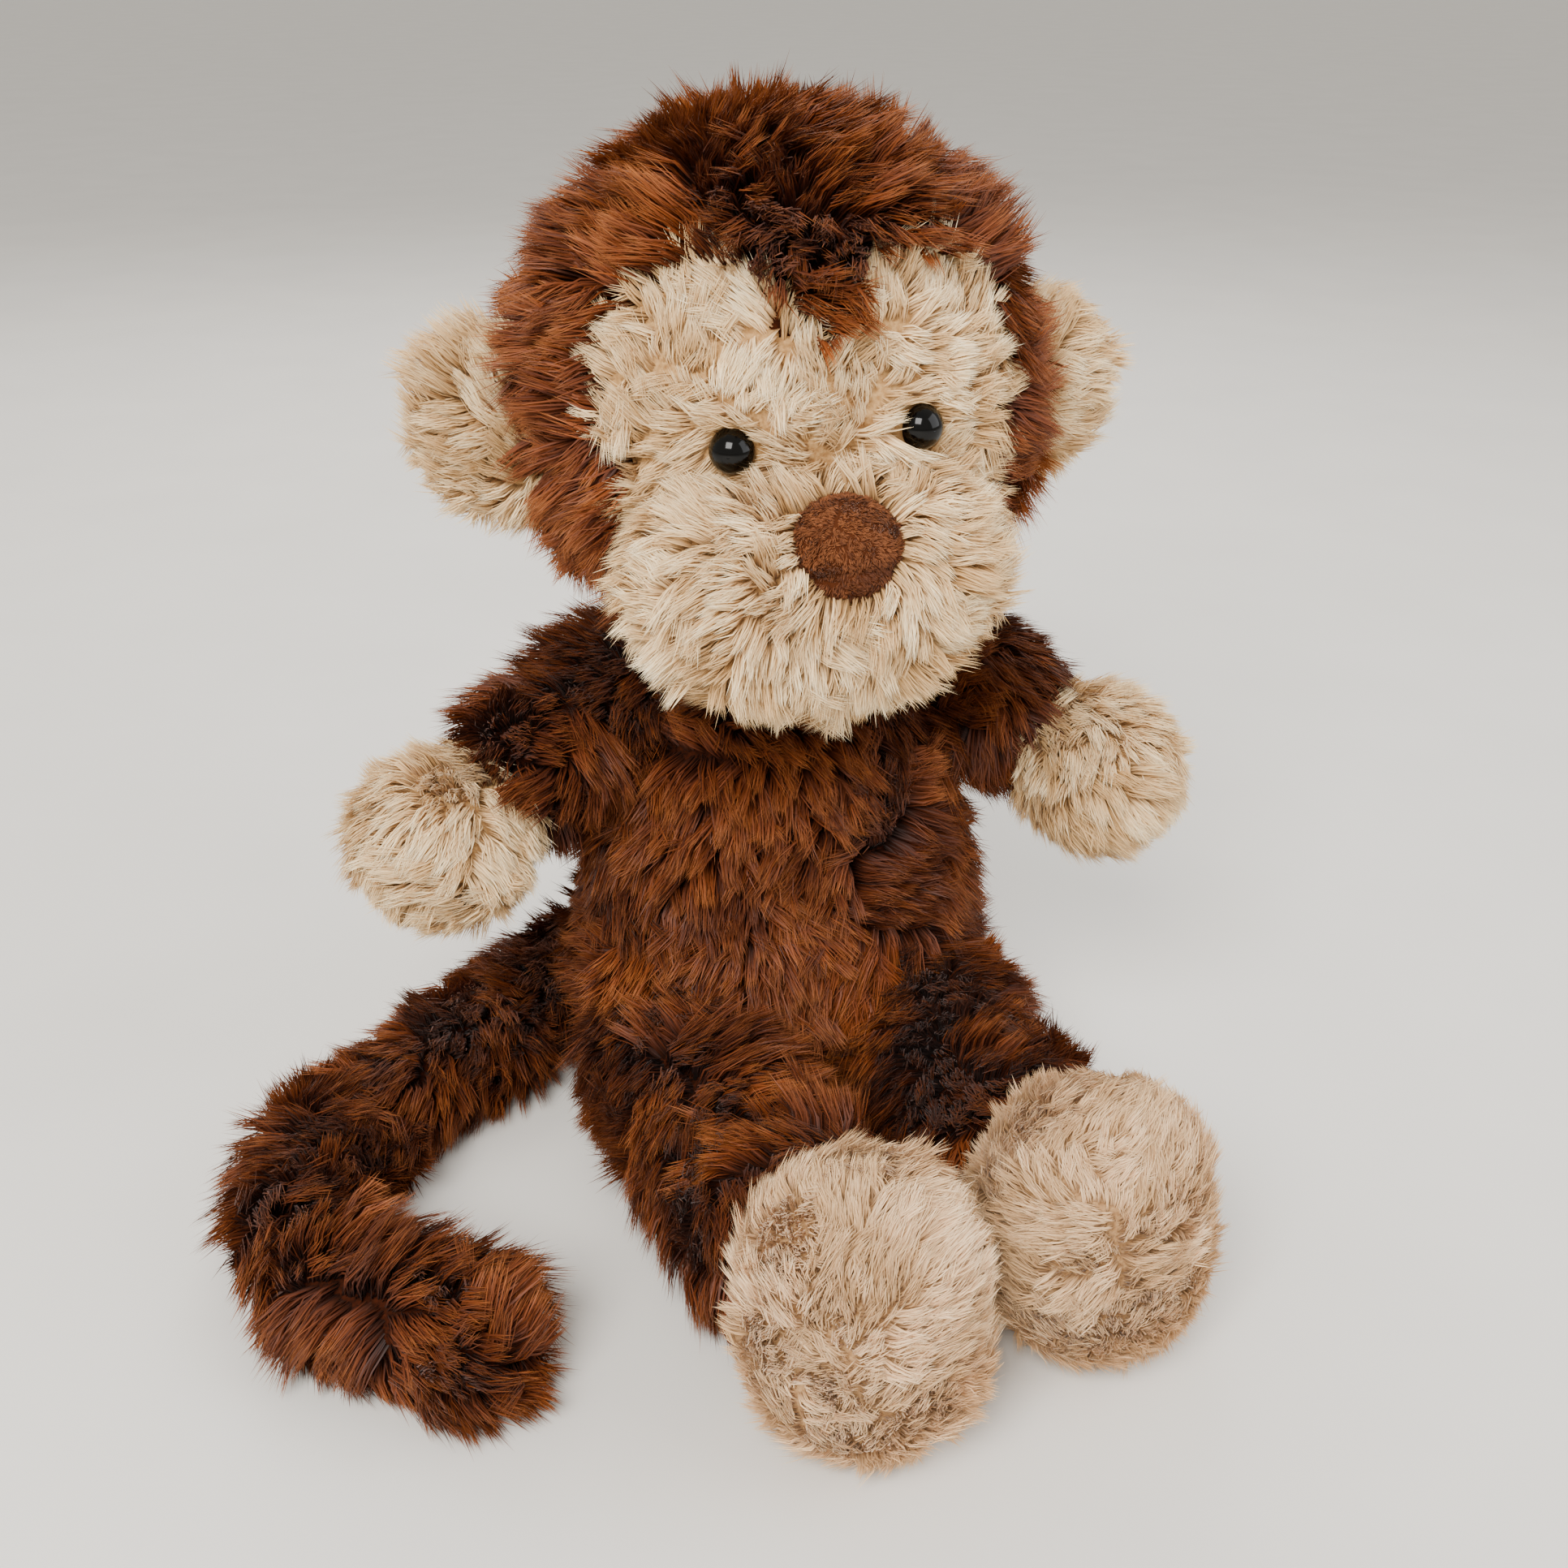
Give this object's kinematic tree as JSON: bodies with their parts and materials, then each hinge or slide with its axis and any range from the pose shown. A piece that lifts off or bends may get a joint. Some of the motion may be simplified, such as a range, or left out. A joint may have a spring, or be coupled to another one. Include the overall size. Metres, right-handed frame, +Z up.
{
  "type": "stuffed monkey",
  "caption": "Seated plush monkey with long brown pile, pale face, ears, hands and feet, and a curled tail; head, ears, arms, legs and tail turn in their seams.",
  "frame": {"origin": "centre of the flat seat, on the surface the monkey sits on", "axes": "+Z up, the monkey faces -Y, its right side is -X"},
  "size_m": [0.2372, 0.2111, 0.244],
  "materials": {
    "long_pile": "long brown pile",
    "head_pile": "long rust-brown pile",
    "face_pile": "short pale pile",
    "foot_pile": "short greyish pile",
    "nose": "suede-like fabric",
    "eye": "glossy",
    "washer": "moulded",
    "stuffing": "fibre fill",
    "pouch": "woven",
    "beads": "pellets",
    "thread": "sewing thread"
  },
  "bodies": {
    "torso": {"torso_front": "long_pile", "torso_back": "long_pile", "torso_stuffing": "stuffing", "seat_bead_pouch": "pouch", "seat_beads": "beads", "closing_thread": "thread"},
    "neck_ring": {"neck_thread": "thread"},
    "neck": {"neck_stuffing": "stuffing"},
    "head": {"head_skin_right": "head_pile", "head_skin_left": "head_pile", "face_mask": "face_pile", "muzzle": "face_pile", "nose": "nose", "head_stuffing": "stuffing", "muzzle_stuffing": "stuffing", "eye_right": "eye", "eye_left": "eye", "eye_washer_right": "washer", "eye_washer_left": "washer"},
    "ear_right": {"ear_front_right": "face_pile", "ear_back_right": "face_pile", "ear_stuffing_right": "stuffing"},
    "ear_left": {"ear_front_left": "face_pile", "ear_back_left": "face_pile", "ear_stuffing_left": "stuffing"},
    "shoulder_right": {"shoulder_stuffing_right": "stuffing"},
    "arm_right": {"sleeve_right": "long_pile", "arm_stuffing_right": "stuffing"},
    "hand_right": {"hand_back_right": "face_pile", "hand_palm_right": "face_pile", "hand_stuffing_right": "stuffing"},
    "shoulder_left": {"shoulder_stuffing_left": "stuffing"},
    "arm_left": {"sleeve_left": "long_pile", "arm_stuffing_left": "stuffing"},
    "hand_left": {"hand_back_left": "face_pile", "hand_palm_left": "face_pile", "hand_stuffing_left": "stuffing"},
    "hip_right": {"hip_stuffing_right": "stuffing"},
    "thigh_right": {"thigh_right": "long_pile", "thigh_stuffing_right": "stuffing"},
    "shin_right": {"shin_right": "long_pile", "shin_stuffing_right": "stuffing"},
    "foot_right": {"foot_upper_right": "foot_pile", "foot_sole_right": "foot_pile", "foot_stuffing_right": "stuffing"},
    "hip_left": {"hip_stuffing_left": "stuffing"},
    "thigh_left": {"thigh_left": "long_pile", "thigh_stuffing_left": "stuffing"},
    "shin_left": {"shin_left": "long_pile", "shin_stuffing_left": "stuffing"},
    "foot_left": {"foot_upper_left": "foot_pile", "foot_sole_left": "foot_pile", "foot_stuffing_left": "stuffing"},
    "tail_seam": {"tail_root_stuffing": "stuffing"},
    "tail_root": {"tail_root": "long_pile"},
    "tail_fore": {"tail_fore": "long_pile"},
    "tail_bend": {"tail_bend": "long_pile"},
    "tail_tip": {"tail_tip": "long_pile"}
  },
  "joints": [
    {"name": "neck_turn", "type": "hinge", "parent": "torso", "child": "neck_ring", "pos_m": [0, 0.001, 0.133], "axis": [0, 0, 1], "range_deg": [-40, 25]},
    {"name": "neck_tilt", "type": "hinge", "parent": "neck_ring", "child": "neck", "pos_m": [0, 0.001, 0.133], "axis": [0, 1, 0], "range_deg": [-8, 8]},
    {"name": "neck_nod", "type": "hinge", "parent": "neck", "child": "head", "pos_m": [0, 0.001, 0.133], "axis": [1, 0, 0], "range_deg": [-10, 8]},
    {"name": "ear_fold_right", "type": "hinge", "parent": "head", "child": "ear_right", "pos_m": [-0.05733, 0.00203, 0.18196], "axis": [-0.0694, 0.0073, 0.9976], "range_deg": [-15, 15]},
    {"name": "ear_fold_left", "type": "hinge", "parent": "head", "child": "ear_left", "pos_m": [0.05817, -0.01011, 0.18407], "axis": [0.0694, -0.0073, -0.9976], "range_deg": [-15, 15]},
    {"name": "shoulder_raise_right", "type": "hinge", "parent": "torso", "child": "shoulder_right", "pos_m": [-0.038, 0.002, 0.115], "axis": [0, 1, 0], "range_deg": [-10, 25]},
    {"name": "shoulder_swing_right", "type": "hinge", "parent": "shoulder_right", "child": "arm_right", "pos_m": [-0.038, 0.002, 0.115], "axis": [-1, 0, 0], "range_deg": [-20, 18]},
    {"name": "wrist_bend_right", "type": "hinge", "parent": "arm_right", "child": "hand_right", "pos_m": [-0.0699, -0.0093, 0.09772], "axis": [0.3338, -0.9426, 0], "range_deg": [-30, 25]},
    {"name": "shoulder_raise_left", "type": "hinge", "parent": "torso", "child": "shoulder_left", "pos_m": [0.038, 0.002, 0.115], "axis": [0, -1, 0], "range_deg": [-10, 25]},
    {"name": "shoulder_swing_left", "type": "hinge", "parent": "shoulder_left", "child": "arm_left", "pos_m": [0.038, 0.002, 0.115], "axis": [-1, 0, 0], "range_deg": [-20, 18]},
    {"name": "wrist_bend_left", "type": "hinge", "parent": "arm_left", "child": "hand_left", "pos_m": [0.06436, -0.01997, 0.09868], "axis": [0.6402, 0.7682, 0], "range_deg": [-30, 25]},
    {"name": "hip_spread_right", "type": "hinge", "parent": "torso", "child": "hip_right", "pos_m": [-0.033, -0.025, 0.021], "axis": [0, 0, -1], "range_deg": [0, 20]},
    {"name": "hip_lift_right", "type": "hinge", "parent": "hip_right", "child": "thigh_right", "pos_m": [-0.033, -0.025, 0.021], "axis": [-0.9945, -0.1045, 0], "range_deg": [0, 20]},
    {"name": "knee_bend_right", "type": "hinge", "parent": "thigh_right", "child": "shin_right", "pos_m": [-0.02892, -0.06379, 0.021], "axis": [-0.9945, -0.1045, 0], "range_deg": [0, 28]},
    {"name": "ankle_bend_right", "type": "hinge", "parent": "shin_right", "child": "foot_right", "pos_m": [-0.02485, -0.10257, 0.021], "axis": [-0.9945, -0.1045, 0], "range_deg": [-15, 10]},
    {"name": "hip_spread_left", "type": "hinge", "parent": "torso", "child": "hip_left", "pos_m": [0.033, -0.015, 0.021], "axis": [0, 0, 1], "range_deg": [0, 20]},
    {"name": "hip_lift_left", "type": "hinge", "parent": "hip_left", "child": "thigh_left", "pos_m": [0.033, -0.015, 0.021], "axis": [-0.9998, -0.0175, 0], "range_deg": [0, 20]},
    {"name": "knee_bend_left", "type": "hinge", "parent": "thigh_left", "child": "shin_left", "pos_m": [0.03368, -0.05399, 0.021], "axis": [-0.9998, -0.0175, 0], "range_deg": [0, 28]},
    {"name": "ankle_bend_left", "type": "hinge", "parent": "shin_left", "child": "foot_left", "pos_m": [0.03436, -0.09299, 0.021], "axis": [-0.9998, -0.0175, 0], "range_deg": [-15, 10]},
    {"name": "tail_swing", "type": "hinge", "parent": "torso", "child": "tail_seam", "pos_m": [0, 0.043, 0.0135], "axis": [0, 0, -1], "range_deg": [0, 30]},
    {"name": "tail_lift", "type": "hinge", "parent": "tail_seam", "child": "tail_root", "pos_m": [0, 0.043, 0.0135], "axis": [0.2588, 0.9659, 0], "range_deg": [0, 10]},
    {"name": "tail_bend_fore", "type": "hinge", "parent": "tail_root", "child": "tail_fore", "pos_m": [-0.05823, 0.03009, 0.0135], "axis": [0, 0, 1], "range_deg": [-12, 15]},
    {"name": "tail_bend_middle", "type": "hinge", "parent": "tail_fore", "child": "tail_bend", "pos_m": [-0.11339, -0.01619, 0.0135], "axis": [0, 0, 1], "range_deg": [-20, 15]},
    {"name": "tail_bend_tip", "type": "hinge", "parent": "tail_bend", "child": "tail_tip", "pos_m": [-0.11339, -0.08291, 0.0135], "axis": [0, 0, 1], "range_deg": [-20, 15]}
  ]
}
